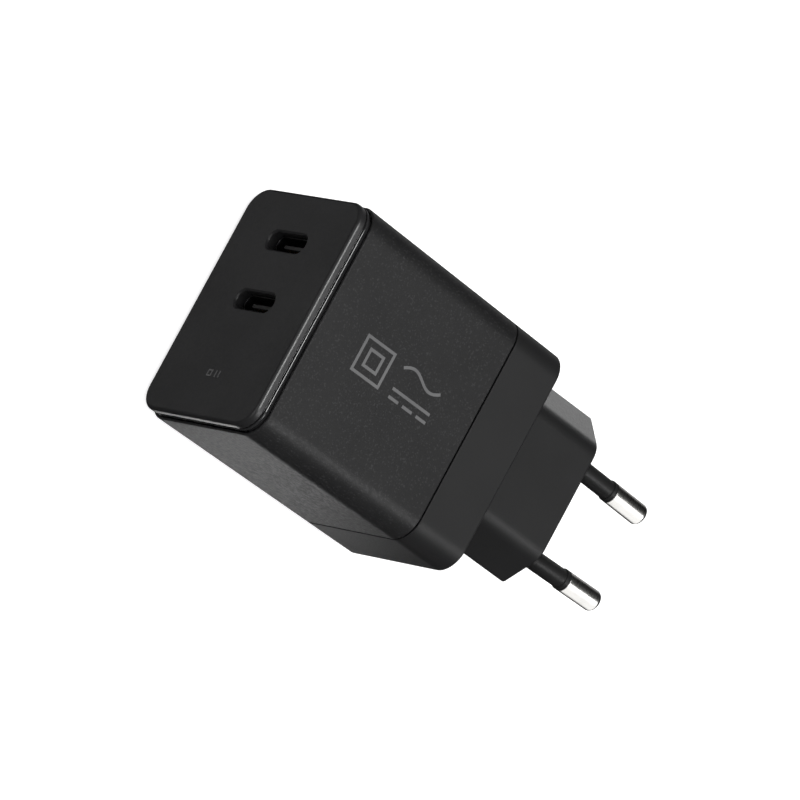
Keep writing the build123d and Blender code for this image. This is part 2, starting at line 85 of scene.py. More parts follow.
# ---------------------------------------------------------------- shape tools
class Outline:
    """A closed flat curve across the Y axis, with the way out of it at each point.

    Args:
        points: X and Z of each point, in metres.
        outward: the unit direction out of the curve at each point.
        pull: how far each point moves along X for each metre along Y.
        datum: the Y at which none has moved.
    """

    def __init__(self, points: Array, outward: Array, pull: Array | float = 0.0,
                 datum: float = 0.0) -> None:
        self.points = points
        self.outward = outward
        self.pull = pull
        self.datum = datum

    def rings(self, profile: Array) -> Array:
        """Carries a profile round the curve.

        Each point is the curve's point less the inset times the way out, at the
        profile's Y; a taper then moves it along X by its own pull.

        Args:
            profile: rows of inset and Y.

        Returns:
            An array of rings, points and coordinates.
        """
        inset = profile[:, 0][:, None]
        y = np.broadcast_to(profile[:, 1][:, None], (len(profile), len(self.points)))
        x = self.points[:, 0] - inset * self.outward[:, 0] + self.pull * (y - self.datum)
        z = self.points[:, 1] - inset * self.outward[:, 1]
        return np.stack([x, y, np.broadcast_to(z, y.shape)], axis=-1)


def spread(edge: float, sides: int) -> Array:
    """Numbers from 0 to 1 along a straight run, with one close to each end for clean shading."""
    inner = np.linspace(0, 1, sides + 2)[1:-1]
    return np.concatenate([[edge], inner, [1 - edge]])


def rounded_polygon(corners: Array, radii: Array, steps: int = 14,
                    sides: int = 3) -> tuple[Array, Array]:
    """Rounds the corners of a convex polygon given counter-clockwise in X and Z.

    Each corner's arc is its centre plus the radius times a direction that turns
    evenly from one side's normal to the next one's. The straight runs between
    arcs get points that share their side's normal.

    Args:
        corners: the polygon's corners.
        radii: one radius for each corner.
        steps: divisions of each arc.
        sides: points in the middle of each straight run.

    Returns:
        The points and the outward direction at each.
    """
    ahead = np.roll(corners, -1, axis=0) - corners
    ahead /= np.linalg.norm(ahead, axis=1, keepdims=True)
    behind = np.roll(ahead, 1, axis=0)
    normal_in = np.stack([behind[:, 1], -behind[:, 0]], axis=1)
    normal_out = np.stack([ahead[:, 1], -ahead[:, 0]], axis=1)
    start = np.arctan2(normal_in[:, 1], normal_in[:, 0])
    turn = np.mod(np.arctan2(normal_out[:, 1], normal_out[:, 0]) - start, 2 * np.pi)
    centre = corners - (normal_in + normal_out) * (radii / (1 + np.cos(turn)))[:, None]
    angle = start[:, None] + turn[:, None] * np.linspace(0, 1, steps + 1)
    way = np.stack([np.cos(angle), np.sin(angle)], axis=-1)
    arc = centre[:, None] + radii[:, None, None] * way
    share = spread(0.02, sides)[None, :, None]
    run_start = arc[:, -1][:, None]
    run_end = np.roll(arc[:, 0], -1, axis=0)[:, None]
    run = run_start + (run_end - run_start) * share
    run_way = np.broadcast_to(normal_out[:, None], run.shape)
    points = np.concatenate([arc, run], axis=1).reshape(-1, 2)
    outward = np.concatenate([way, run_way], axis=1).reshape(-1, 2)
    return points, outward


def rounded_rectangle(width: float, height: float, radius: float,
                      steps: int = 14) -> tuple[Array, Array]:
    """The rounded polygon of a rectangle centred on the origin."""
    half = np.array([width / 2, height / 2])
    corners = half * np.array([[1, -1], [1, 1], [-1, 1], [-1, -1]])
    return rounded_polygon(corners, np.full(4, radius), steps)


def soften(path: Array, radii: Array, closed: bool = False, steps: int = 5,
           guard: float = 0.12 * MM) -> Array:
    """Rounds the corners of a profile of straight runs.

    At each corner the arc touches both runs: its reach along them is the radius
    over the tangent of half the corner's angle, never more than 0.45 of a run,
    and its points swing evenly from one touching point to the other. A guard
    point stands just outside each end of the arc, on the run.

    Args:
        path: rows of inset and Y.
        radii: one radius for each corner; an open path's ends take none.
        closed: whether the last run joins the first point.
        steps: divisions of each arc.
        guard: how far outside the arc its guard points stand.

    Returns:
        The rounded profile.
    """
    inner = path if closed else path[1:-1]
    before = (np.roll(path, 1, axis=0) - path)[0 if closed else 1:len(path) if closed else -1]
    after = (np.roll(path, -1, axis=0) - path)[0 if closed else 1:len(path) if closed else -1]
    before_long = np.linalg.norm(before, axis=1, keepdims=True)
    after_long = np.linalg.norm(after, axis=1, keepdims=True)
    before, after = before / before_long, after / after_long
    half = np.arccos(np.clip((before * after).sum(axis=1, keepdims=True), -1, 1)) / 2
    shortest = np.minimum(before_long, after_long)
    wanted = (radii if closed else radii[1:-1])[:, None]
    reach = np.minimum(wanted / np.tan(half), 0.45 * shortest)
    radius = reach * np.tan(half)
    middle = (before + after) / np.linalg.norm(before + after, axis=1, keepdims=True)
    centre = inner + middle * radius / np.sin(half)
    first = inner + before * reach - centre
    last = inner + after * reach - centre
    sweep = (np.pi - 2 * half)[:, :, None]
    t = np.linspace(0, 1, steps + 1)[None, :, None]
    swing = np.sin((1 - t) * sweep) * first[:, None] + np.sin(t * sweep) * last[:, None]
    arc = centre[:, None] + swing / np.sin(sweep)
    margin = np.minimum(guard, 0.04 * shortest)
    lead = (inner + before * (reach + margin))[:, None]
    trail = (inner + after * (reach + margin))[:, None]
    rounded = np.concatenate([lead, arc, trail], axis=1).reshape(-1, 2)
    return rounded if closed else np.concatenate([path[:1], rounded, path[-1:]])


def put(points: Array, place: Matrix) -> Array:
    """Turns and moves points by a matrix."""
    matrix = np.array(place)
    return points @ matrix[:3, :3].T + matrix[:3, 3]


def stand(name: str, data: bpy.types.ID) -> Piece:
    """Makes an object and puts it in the scene."""
    obj = bpy.data.objects.new(name, data)
    bpy.context.scene.collection.objects.link(obj)
    return obj


class Skin:
    """A closed surface gathered from lattices and flat fills that share their points."""

    def __init__(self) -> None:
        self.points: list[Array] = []
        self.faces: list[list[int]] = []
        self.count = 0

    def add(self, grid: Array) -> Array:
        """Stores a grid of points and returns their numbers in the grid's own shape."""
        flat = np.asarray(grid, float).reshape(-1, 3)
        numbers = np.arange(self.count, self.count + len(flat)).reshape(grid.shape[:-1])
        self.points.append(flat)
        self.count += len(flat)
        return numbers

    def lattice(self, numbers: Array, closed: bool = False) -> None:
        """Puts four-sided faces between neighbouring rings, each of which closes on itself.

        Args:
            numbers: point numbers, one row for each ring.
            closed: whether the last ring joins the first.
        """
        rows = np.vstack([numbers, numbers[:1]]) if closed else numbers
        low, high = rows[:-1], rows[1:]
        quads = np.stack([low, np.roll(low, -1, 1), np.roll(high, -1, 1), high], axis=-1)
        self.faces += quads.reshape(-1, 4).tolist()

    def fill(self, *loops: Array) -> None:
        """Fills the flat area inside the first loop and outside the others."""
        points = np.concatenate(self.points)
        corners = tessellate_polygon([[Vector(p) for p in points[loop]] for loop in loops])
        numbers = np.concatenate(loops)
        self.faces += numbers[np.array(corners)].tolist()

    def cap(self, loop: Array) -> None:
        """Closes a small round loop with one point in its middle."""
        points = np.concatenate(self.points)[loop]
        middle = self.add(points.mean(axis=0)[None])[0]
        fan = np.stack([loop, np.roll(loop, -1), np.full(len(loop), middle)], axis=-1)
        self.faces += fan.tolist()

    def tube(self, rings: Array) -> None:
        """Adds rings whose last joins the first, such as a wall that closes on itself."""
        self.lattice(self.add(rings), closed=True)

    def spindle(self, rings: Array) -> None:
        """Adds rings and closes both ends with a point."""
        numbers = self.add(rings)
        self.lattice(numbers)
        self.cap(numbers[0])
        self.cap(numbers[-1])

    def slab(self, rings: Array) -> None:
        """Adds rings and fills both ends flat."""
        numbers = self.add(rings)
        self.lattice(numbers)
        self.fill(numbers[0])
        self.fill(numbers[-1])

    def piece(self, name: str, crease: float = 32.0) -> Piece:
        """Makes the object, with faces turned outwards and sharp only past the crease angle."""
        mesh = bpy.data.meshes.new(name)
        mesh.from_pydata(np.concatenate(self.points).tolist(), [], self.faces)
        shell = bmesh.new()
        shell.from_mesh(mesh)
        bmesh.ops.recalc_face_normals(shell, faces=shell.faces)
        shell.to_mesh(mesh)
        shell.free()
        mesh.shade_smooth()
        mesh.set_sharp_from_angle(angle=math.radians(crease))
        mesh.validate()
        return stand(name, mesh)


def lathe(profile: Array, place: Matrix, around: int = 72) -> Array:
    """Turns a profile about a leaning axis.

    A point is the radius times the cosine and sine of an even angle, at its
    distance along the axis, and then put in place by the axis's own matrix.

    Args:
        profile: rows of radius and distance along the axis.
        place: where the axis stands; its own Y runs along the axis.
        around: points in one turn.

    Returns:
        An array of rings, points and coordinates.
    """
    angle = np.linspace(0, 2 * np.pi, around, endpoint=False)
    radius = profile[:, 0][:, None]
    along = np.broadcast_to(profile[:, 1][:, None], (len(profile), around))
    return put(np.stack([radius * np.cos(angle), along, radius * np.sin(angle)], axis=-1), place)


def dress(obj: Piece, material: Material) -> None:
    """Gives an object one material."""
    obj.data.materials.clear()
    obj.data.materials.append(material)


def settle(obj: Piece, material: Material, slot: str | None, *nodes: str) -> None:
    """Finishes a new piece: its material, its body and the frame solids it stands for."""
    dress(obj, material)
    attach(obj, BODY)
    if nodes:
        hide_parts(*nodes)
    LOG.info("%s: %d faces", obj.name, len(obj.data.polygons))


# ---------------------------------------------------------------- finishes
class Tree:
    """A material's node tree with short calls for the nodes used here."""

    FIRST_COLOUR, SECOND_COLOUR, MIXED_COLOUR = 6, 7, 2     # a mix node's colour sockets

    def __init__(self, name: str) -> None:
        self.material = bpy.data.materials.new(name)
        self.material.use_nodes = True
        self.nodes = self.material.node_tree.nodes
        self.links = self.material.node_tree.links
        self.shader = self.nodes["Principled BSDF"]
        self.place = self.nodes.new("ShaderNodeTexCoord").outputs["Object"]

    def node(self, kind: str, **values: object) -> bpy.types.Node:
        """Adds a node; a value that is a socket is linked, and any other is set."""
        made = self.nodes.new("ShaderNode" + kind)
        for name, value in values.items():
            label = name.replace("_", " ")
            if label in made.inputs:
                self.feed(made.inputs[label], value)
            else:
                setattr(made, name, value)
        return made

    def feed(self, socket: Socket, value: object) -> None:
        """Links or sets one input."""
        if isinstance(value, Socket):
            self.links.new(value, socket)
        elif isinstance(value, tuple) and len(value) == 3 and socket.type == "RGBA":
            socket.default_value = (*value, 1.0)
        else:
            socket.default_value = value

    def set(self, **values: object) -> None:
        """Sets or links the shader's own inputs."""
        for name, value in values.items():
            self.feed(self.shader.inputs[name.replace("_", " ")], value)

    def noise(self, scale: float, detail: float = 2.0, place: Socket | None = None) -> Socket:
        """A noise's even-toned output."""
        made = self.node("TexNoise", Vector=place or self.place, Scale=scale, Detail=detail)
        return made.outputs["Fac"]

    def stretch(self, scale: tuple[float, float, float]) -> Socket:
        """The place, stretched along the axes."""
        made = self.node("Mapping", Vector=self.place, Scale=scale)
        return made.outputs["Vector"]

    def span(self, value: Socket, low: float, high: float, out_low: float,
             out_high: float) -> Socket:
        """Carries a range of one value onto another range, held at its ends."""
        made = self.node("MapRange", Value=value, From_Min=low, From_Max=high,
                         To_Min=out_low, To_Max=out_high)
        return made.outputs["Result"]

    def mix(self, share: Socket, first: object, second: object) -> Socket:
        """Mixes two colours."""
        made = self.node("Mix", data_type="RGBA")
        self.feed(made.inputs["Factor"], share)
        self.feed(made.inputs[self.FIRST_COLOUR], first)
        self.feed(made.inputs[self.SECOND_COLOUR], second)
        return made.outputs[self.MIXED_COLOUR]

    def bump(self, height: Socket, depth: float, under: Socket | None = None) -> Socket:
        """A bump of a real depth in metres, on top of another where one is given."""
        made = self.node("Bump", Height=height, Distance=depth, Strength=1.0)
        if under is not None:
            self.links.new(under, made.inputs["Normal"])
        return made.outputs["Normal"]


@dataclass(frozen=True)
class Moulded:
    """Moulded plastic: a fine spark texture, a slow drift of tone and dust-like specks."""

    name: str
    dark: Colour
    light: Colour
    rough_low: float
    rough_high: float
    grain: float = 5200.0
    grain_depth: float = 0.012 * MM
    drift: float = 90.0
    specular: float = 0.5
    speck: float = 0.0

    def build(self) -> Material:
        """Makes the material."""
        tree = Tree(self.name)
        grain = tree.noise(self.grain, 3.0)
        drift = tree.noise(self.drift, 2.0)
        tone = tree.mix(tree.span(drift, 0.35, 0.65, 0.0, 1.0), self.dark, self.light)
        if self.speck:
            fleck = tree.span(tree.noise(self.grain * 0.8, 0.0), 0.66, 0.74, 0.0, self.speck)
            tone = tree.mix(fleck, tone, tuple(4 * c for c in self.light))
        rough = tree.span(tree.noise(self.grain * 0.35, 2.0), 0.3, 0.7, self.rough_low, self.rough_high)
        tree.set(Base_Color=tone, Roughness=rough, Normal=tree.bump(grain, self.grain_depth))
        tree.set(Specular_IOR_Level=self.specular)
        return tree.material


@dataclass(frozen=True)
class Plated:
    """Plated metal with fine turning lines round or along its length."""

    name: str
    dark: Colour
    light: Colour
    rough_low: float
    rough_high: float
    stretch: tuple[float, float, float] = (900.0, 9000.0, 900.0)
    depth: float = 0.0015 * MM

    def build(self) -> Material:
        """Makes the material."""
        tree = Tree(self.name)
        lines = tree.noise(1.0, 3.0, tree.stretch(self.stretch))
        haze = tree.noise(260.0, 3.0)
        tone = tree.mix(tree.span(haze, 0.35, 0.65, 0.0, 1.0), self.dark, self.light)
        rough = tree.span(lines, 0.3, 0.7, self.rough_low, self.rough_high)
        tree.set(Base_Color=tone, Metallic=1.0, Roughness=rough, Normal=tree.bump(lines, self.depth))
        return tree.material


@dataclass(frozen=True)
class Banded:
    """A part wound, taped or striped in bands along one axis."""

    name: str
    dark: Colour
    light: Colour
    pitch: float
    axis: str = "Z"
    roughness: float = 0.4
    metallic: float = 0.0
    depth: float = 0.03 * MM

    def build(self) -> Material:
        """Makes the material; a band's pitch is the wave's length."""
        tree = Tree(self.name)
        wave = tree.node("TexWave", Vector=tree.place, bands_direction=self.axis,
                         Scale=math.pi / 10 / self.pitch, Distortion=0.4, Detail=1.0)
        band = wave.outputs["Fac"]
        worn = tree.mix(tree.noise(700.0), self.dark, self.light)
        tone = tree.mix(band, tree.mix(tree.noise(90.0), self.dark, worn), self.light)
        tree.set(Base_Color=tone, Metallic=self.metallic, Roughness=self.roughness)
        tree.set(Normal=tree.bump(band, self.depth))
        return tree.material


@dataclass(frozen=True)
class Masked:
    """A circuit board: green solder mask over tracks, with a glass weave under it."""

    name: str
    mask: Colour = (0.012, 0.075, 0.03)
    track: Colour = (0.03, 0.16, 0.06)

    def build(self) -> Material:
        """Makes the material; the tracks are cell borders a fraction of a millimetre wide."""
        tree = Tree(self.name)
        cells = tree.node("TexVoronoi", Vector=tree.place, Scale=420.0, distance="MANHATTAN")
        track = tree.span(cells.outputs["Distance"], 0.35, 0.42, 1.0, 0.0)
        weave = tree.node("TexChecker", Vector=tree.place, Scale=2600.0).outputs["Fac"]
        tone = tree.mix(track, self.mask, self.track)
        height = tree.span(weave, 0.0, 1.0, 0.0, 0.3)
        normal = tree.bump(track, 0.03 * MM, tree.bump(height, 0.01 * MM))
        tree.set(Base_Color=tone, Normal=normal, Coat_Weight=0.3)
        tree.set(Roughness=tree.span(tree.noise(800.0), 0.3, 0.7, 0.25, 0.4))
        return tree.material


class Finish(Enum):
    """The finishes, each named for what it is made of."""

    SHELL = Moulded("shell_texture", (0.0105, 0.0105, 0.011), (0.0125, 0.0125, 0.013), 0.42, 0.54,
                    grain=4300.0, grain_depth=0.016 * MM, speck=0.35)
    REAR = Moulded("rear_smooth", (0.011, 0.011, 0.0115), (0.0125, 0.0125, 0.013), 0.46, 0.52,
                   grain=9000.0, grain_depth=0.004 * MM)
    NOSE = Moulded("nose_matte", (0.011, 0.011, 0.0115), (0.013, 0.013, 0.0135), 0.44, 0.52,
                   grain=7000.0, grain_depth=0.006 * MM)
    PLATE = Moulded("plate_satin", (0.009, 0.009, 0.0095), (0.011, 0.011, 0.0115), 0.34, 0.42,
                    grain=6500.0, grain_depth=0.006 * MM, speck=0.1)
    RING = Moulded("ring_gloss", (0.012, 0.012, 0.0125), (0.016, 0.016, 0.0165), 0.10, 0.16,
                   grain=3000.0, grain_depth=0.001 * MM)
    SLEEVE = Moulded("sleeve_black", (0.009, 0.009, 0.009), (0.012, 0.012, 0.012), 0.42, 0.52,
                     grain=5000.0, grain_depth=0.006 * MM)
    INK = Moulded("ink_grey", (0.10, 0.10, 0.102), (0.12, 0.12, 0.122), 0.5, 0.6,
                  grain=9000.0, grain_depth=0.004 * MM)
    INK_DIM = Moulded("ink_dim", (0.05, 0.05, 0.051), (0.06, 0.06, 0.061), 0.5, 0.6,
                      grain=9000.0, grain_depth=0.004 * MM)
    PIN = Plated("pin_nickel", (0.70, 0.69, 0.67), (0.78, 0.77, 0.75), 0.26, 0.36)
    PORT = Plated("port_steel", (0.10, 0.10, 0.105), (0.16, 0.16, 0.165), 0.3, 0.42,
                  stretch=(3000.0, 3000.0, 500.0))
    TONGUE = Moulded("tongue_black", (0.012, 0.012, 0.012), (0.02, 0.02, 0.02), 0.4, 0.5)
    GOLD = Plated("contact_gold", (0.72, 0.5, 0.17), (0.83, 0.6, 0.24), 0.2, 0.32)
    CARRIER = Moulded("carrier_grey", (0.13, 0.13, 0.135), (0.17, 0.17, 0.175), 0.45, 0.6)
    LEAD = Plated("lead_tinned", (0.58, 0.55, 0.5), (0.7, 0.67, 0.6), 0.25, 0.4)
    BOARD = Masked("board_mask")
    FERRITE = Moulded("ferrite", (0.03, 0.03, 0.033), (0.06, 0.06, 0.063), 0.5, 0.75, grain=2500.0,
                      grain_depth=0.03 * MM)
    BOBBIN = Moulded("bobbin_black", (0.012, 0.012, 0.012), (0.02, 0.02, 0.02), 0.4, 0.5)
    TAPE = Banded("winding_tape", (0.5, 0.32, 0.02), (0.7, 0.5, 0.06), 3.2 * MM)
    CAN_SLEEVE = Banded("can_sleeve", (0.01, 0.012, 0.03), (0.03, 0.035, 0.08), 9.0 * MM, "X", 0.3)
    CAN_BARE = Plated("can_bare", (0.6, 0.6, 0.62), (0.72, 0.72, 0.74), 0.22, 0.34)
    WIRE = Banded("enamelled_wire", (0.35, 0.09, 0.02), (0.6, 0.22, 0.06), 0.9 * MM, "X", 0.25, 0.8)
    FILM_CAP = Moulded("film_capacitor", (0.55, 0.36, 0.02), (0.66, 0.46, 0.04), 0.35, 0.45)
    DISC = Moulded("disc_blue", (0.015, 0.07, 0.3), (0.03, 0.12, 0.4), 0.3, 0.42, grain=1500.0)
    FUSE = Moulded("fuse_brown", (0.11, 0.05, 0.02), (0.16, 0.08, 0.03), 0.35, 0.5)
    CHIP = Moulded("chip_black", (0.012, 0.012, 0.012), (0.022, 0.022, 0.022), 0.5, 0.65,
                   grain=3800.0, grain_depth=0.01 * MM)
    INDUCTOR = Moulded("inductor_grey", (0.09, 0.09, 0.095), (0.15, 0.15, 0.155), 0.5, 0.7,
                       grain=2600.0, grain_depth=0.03 * MM)
    CERAMIC = Moulded("chip_ceramic", (0.2, 0.13, 0.07), (0.3, 0.21, 0.12), 0.35, 0.5)
    PAD = Moulded("thermal_pad", (0.22, 0.3, 0.42), (0.3, 0.38, 0.5), 0.7, 0.85, grain=1800.0,
                  grain_depth=0.04 * MM)
    SPREADER = Plated("spreader_sheet", (0.62, 0.62, 0.63), (0.72, 0.72, 0.73), 0.3, 0.45,
                      stretch=(400.0, 9000.0, 400.0))
    FILM = Moulded("insulation_film", (0.5, 0.47, 0.36), (0.6, 0.57, 0.45), 0.2, 0.3)


class Wardrobe:
    """Makes each finish once and hands it out."""

    def __init__(self) -> None:
        self.made: dict[Finish, Material] = {}

    def get(self, finish: Finish) -> Material:
        """The finish's material, made the first time it is asked for."""
        if finish not in self.made:
            self.made[finish] = finish.value.build()
        return self.made[finish]


WARDROBE = Wardrobe()


# ---------------------------------------------------------------- places in the frame
@dataclass(frozen=True)
class Places:
    """The main planes and sizes, read from the frame's own solids."""

    centre_x: float
    width: float
    thickness: float
    front_y: float
    rim_y: float
    near_y: float
    seam_y: float
    rear_y: float

    @staticmethod
    def read() -> "Places":
        """Reads the boxes of three housing solids."""
        low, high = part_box("main_shell")
        plate_low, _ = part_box("front_plate")
        rear_low, rear_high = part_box("rear_shell")
        return Places((low.x + high.x) / 2, high.x - low.x, high.z - low.z, plate_low.y,
                      low.y, high.y, rear_low.y + SPIGOT_REACH, rear_high.y)


PLACES = Places.read()


@dataclass
class Housing:
    """The two shells of the body: a textured sleeve and a smooth rear section."""

    corner: float = 4.7 * MM
    draft: float = 1.8 * MM
    wall: float = 1.9 * MM
    collar_inset: float = 2.3 * MM
    collar_depth: float = 1.0 * MM
    collar_length: float = 2.0 * MM
    rim_land: float = 0.4 * MM
    rim_lean: float = 0.2 * MM
    rim_round: float = 0.34 * MM
    seam_round: float = 0.12 * MM
    rear_flat: float = 1.2 * MM
    rear_round: float = 0.38 * MM
    spigot: float = 5.0 * MM
    spigot_wall: float = 1.2 * MM
    rear_wall: float = 2.2 * MM
    opening_gap: float = 0.1 * MM
    rim_inner_round: float = 0.1 * MM

    def outline(self) -> Outline:
        """The body's rounded rectangle at the rim, tapering towards the rear.

        A corner follows the taper whole; on the broad sides a point follows it by
        its share of the way out to the corner.
        """
        points, outward = rounded_rectangle(PLACES.width, PLACES.thickness, self.corner, 18)
        share = np.clip(points[:, 0] / (PLACES.width / 2 - self.corner), -1, 1)
        pull = -share * self.draft / 2 / (PLACES.rear_y - PLACES.rim_y)
        return Outline(points + np.array([PLACES.centre_x, 0.0]), outward, pull, PLACES.rim_y)

    def sleeve(self) -> Piece:
        """The textured sleeve: outer wall, rim, collar and inner wall in one closed profile."""
        rim, near = PLACES.rim_y, PLACES.near_y
        floor = rim + self.collar_depth
        back = floor + self.collar_length
        path = np.array([
            [0.0, rim], [0.0, near], [self.wall, near], [self.wall, back],
            [self.collar_inset, back], [self.collar_inset, floor],
            [self.rim_land + self.rim_lean, floor], [self.rim_land, rim],
        ])
        radii = np.array([self.rim_round, self.seam_round] + 5 * [EDGE] + [self.rim_inner_round])
        skin = Skin()
        skin.tube(self.outline().rings(soften(path, radii, closed=True, steps=6)))
        return skin.piece("shell_sleeve")

    def rear(self) -> Piece:
        """The rear section: outer wall, rear face with the nose's opening, and the spigot."""
        seam, rear = PLACES.seam_y, PLACES.rear_y
        face = rear - self.rear_wall
        tip = seam - self.spigot
        flat = self.rear_flat
        inside = self.wall + self.spigot_wall
        path = np.array([
            [flat, rear], [0.0, rear], [0.0, seam], [self.wall + HAIR, seam],
            [self.wall + HAIR, tip], [inside, tip], [inside, face], [inside + flat, face],
        ])
        radii = np.array([0.0, self.rear_round, self.seam_round] + 5 * [EDGE])
        skin = Skin()
        walls = skin.add(self.outline().rings(soften(path, radii, steps=7)))
        skin.lattice(walls)
        gap = -self.opening_gap
        path = np.array([[gap - FLAT, rear], [gap, rear], [gap, face], [gap - FLAT, face]])
        mouth = skin.add(Nose().outline().rings(soften(path, np.full(len(path), SOFT))))
        skin.lattice(mouth)
        skin.fill(walls[0], mouth[0])
        skin.fill(walls[-1], mouth[-1])
        return skin.piece("shell_rear")

    def build(self) -> None:
        """Makes both shells and dresses them."""
        settle(self.sleeve(), WARDROBE.get(Finish.SHELL), "shell_textured", "main_shell")
        settle(self.rear(), WARDROBE.get(Finish.REAR), "rear_smooth", "rear_shell")


@dataclass
class Nose:
    """The plug's long six-sided nose: two broad faces and slanted ones that meet at its tips."""

    half_length: float = 16.7 * MM
    half_thickness: float = 6.7 * MM
    slant: float = 49.0
    edge_round: float = 4.0 * MM
    tip_round: float = 0.9 * MM
    end_round: float = 0.5 * MM
    end_flat: float = 0.9 * MM
    inner_round: float = 0.2 * MM
    root: float = 2.15 * MM
    wall: float = 1.8 * MM
    end_wall: float = 3.0 * MM
    recess: float = 5.0 * MM
    recess_depth: float = 0.4 * MM
    hole: float = 3.62 * MM
    hole_round: float = 0.04 * MM
    offset: float = -1.0 * MM

    def outline(self) -> Outline:
        """The nose's rounded outline.

        A corner stands back from its tip by the thickness over the slant's tangent.
        """
        tip, thick = self.half_length, self.half_thickness
        corner = tip - thick / math.tan(math.radians(self.slant))
        upper = np.array([[tip, 0.0], [corner, thick], [-corner, thick]])
        radii = np.tile([self.tip_round, self.edge_round, self.edge_round], 2)
        points, outward = rounded_polygon(np.concatenate([upper, -upper]), radii, 12)
        return Outline(points + np.array([self.offset, 0.0]), outward)

    def build(self) -> None:
        """Makes the hollow nose with its two pin holes and dresses it."""
        back = PLACES.rear_y - self.root
        flat = self.end_flat
        path = np.array([
            [flat, 0.0], [0.0, 0.0], [0.0, back], [self.wall, back],
            [self.wall, -self.end_wall], [self.wall + flat, -self.end_wall],
        ])
        radii = np.array([0.0, self.end_round, EDGE, EDGE, self.inner_round, 0.0])
        skin = Skin()
        walls = skin.add(self.outline().rings(soften(path, radii, steps=8)))
        skin.lattice(walls)
        front, rear = [walls[0]], [walls[-1]]
        floor = -self.recess_depth
        big, small = self.recess / 2, self.hole / 2
        path = np.array([
            [big + FLAT, 0.0], [big, 0.0], [big, floor], [small, floor],
            [small, -self.end_wall], [small + FLAT, -self.end_wall],
        ])
        radii = np.array([0.0, SOFT, EDGE, self.hole_round, EDGE, 0.0])
        for side in (-1, 1):
            place = Matrix.Translation((side * Pins().spacing_base / 2, 0, 0))
            hole = skin.add(lathe(soften(path, radii), place))
            skin.lattice(hole)
            front.append(hole[0])
            rear.append(hole[-1])
        skin.fill(*front)
        skin.fill(*rear)
        settle(skin.piece("plug_nose_shell"), WARDROBE.get(Finish.NOSE), "nose_matte", "plug_nose")


@dataclass
class Pins:
    """The two plated pins, which lean together, and their insulating sleeves."""

    spacing_base: float = 18.2 * MM
    spacing_tip: float = 17.3 * MM
    length: float = 19.0 * MM
    radius: float = 2.0 * MM
    tip_round: float = 0.9 * MM
    core: float = 1.4 * MM
    back: float = -8.5 * MM
    head: float = 2.5 * MM
    head_depth: float = 1.0 * MM
    sleeve: float = 1.8 * MM
    sleeve_start: float = -2.9 * MM
    sleeve_length: float = 11.0 * MM
    collar: float = 0.9 * MM
    collar_round: float = 0.15 * MM
    skin_gap: float = 0.01 * MM

    def place(self, side: int) -> Matrix:
        """A pin's leaning axis: its foot's place and a turn about Z towards the middle."""
        lean = math.atan((self.spacing_base - self.spacing_tip) / 2 / self.length)
        foot = Matrix.Translation((side * self.spacing_base / 2, 0, 0))
        return foot @ Matrix.Rotation(side * lean, 4, "Z")

    def pin(self, side: int, name: str) -> Piece:
        """A pin from its domed tip to its head."""
        start, end = self.sleeve_length, self.length
        path = np.array([
            [HAIR, end], [self.radius, end], [self.radius, start], [self.core, start],
            [self.core, self.back], [self.head, self.back],
            [self.head, self.back - self.head_depth], [HAIR, self.back - self.head_depth],
        ])
        radii = np.array([0.0, self.tip_round, STEP] + 5 * [EDGE])
        skin = Skin()
        skin.spindle(lathe(soften(path, radii, steps=8), self.place(side)))
        return skin.piece(name)

    def cover(self, side: int, name: str) -> Piece:
        """A sleeve with its slight collar."""
        start, end = self.sleeve_start, self.sleeve_length
        shoulder = end - self.collar
        inner = self.core + self.skin_gap
        path = np.array([
            [self.sleeve, start], [self.sleeve, shoulder], [self.radius, shoulder],
            [self.radius, end], [inner, end], [inner, start],
        ])
        radii = np.array([EDGE, SOFT, SOFT, self.collar_round, EDGE, EDGE])
        skin = Skin()
        skin.tube(lathe(soften(path, radii, closed=True), self.place(side)))
        return skin.piece(name)

    def build(self) -> None:
        """Makes and dresses both pins and both sleeves."""
        for side, name in ((-1, "left"), (1, "right")):
            pin = self.pin(side, f"{name}_pin_metal")
            settle(pin, WARDROBE.get(Finish.PIN), "pin_plating", f"{name}_pin")
            cover = self.cover(side, f"{name}_pin_cover")
            settle(cover, WARDROBE.get(Finish.SLEEVE), "sleeve_black", f"{name}_pin_sleeve")


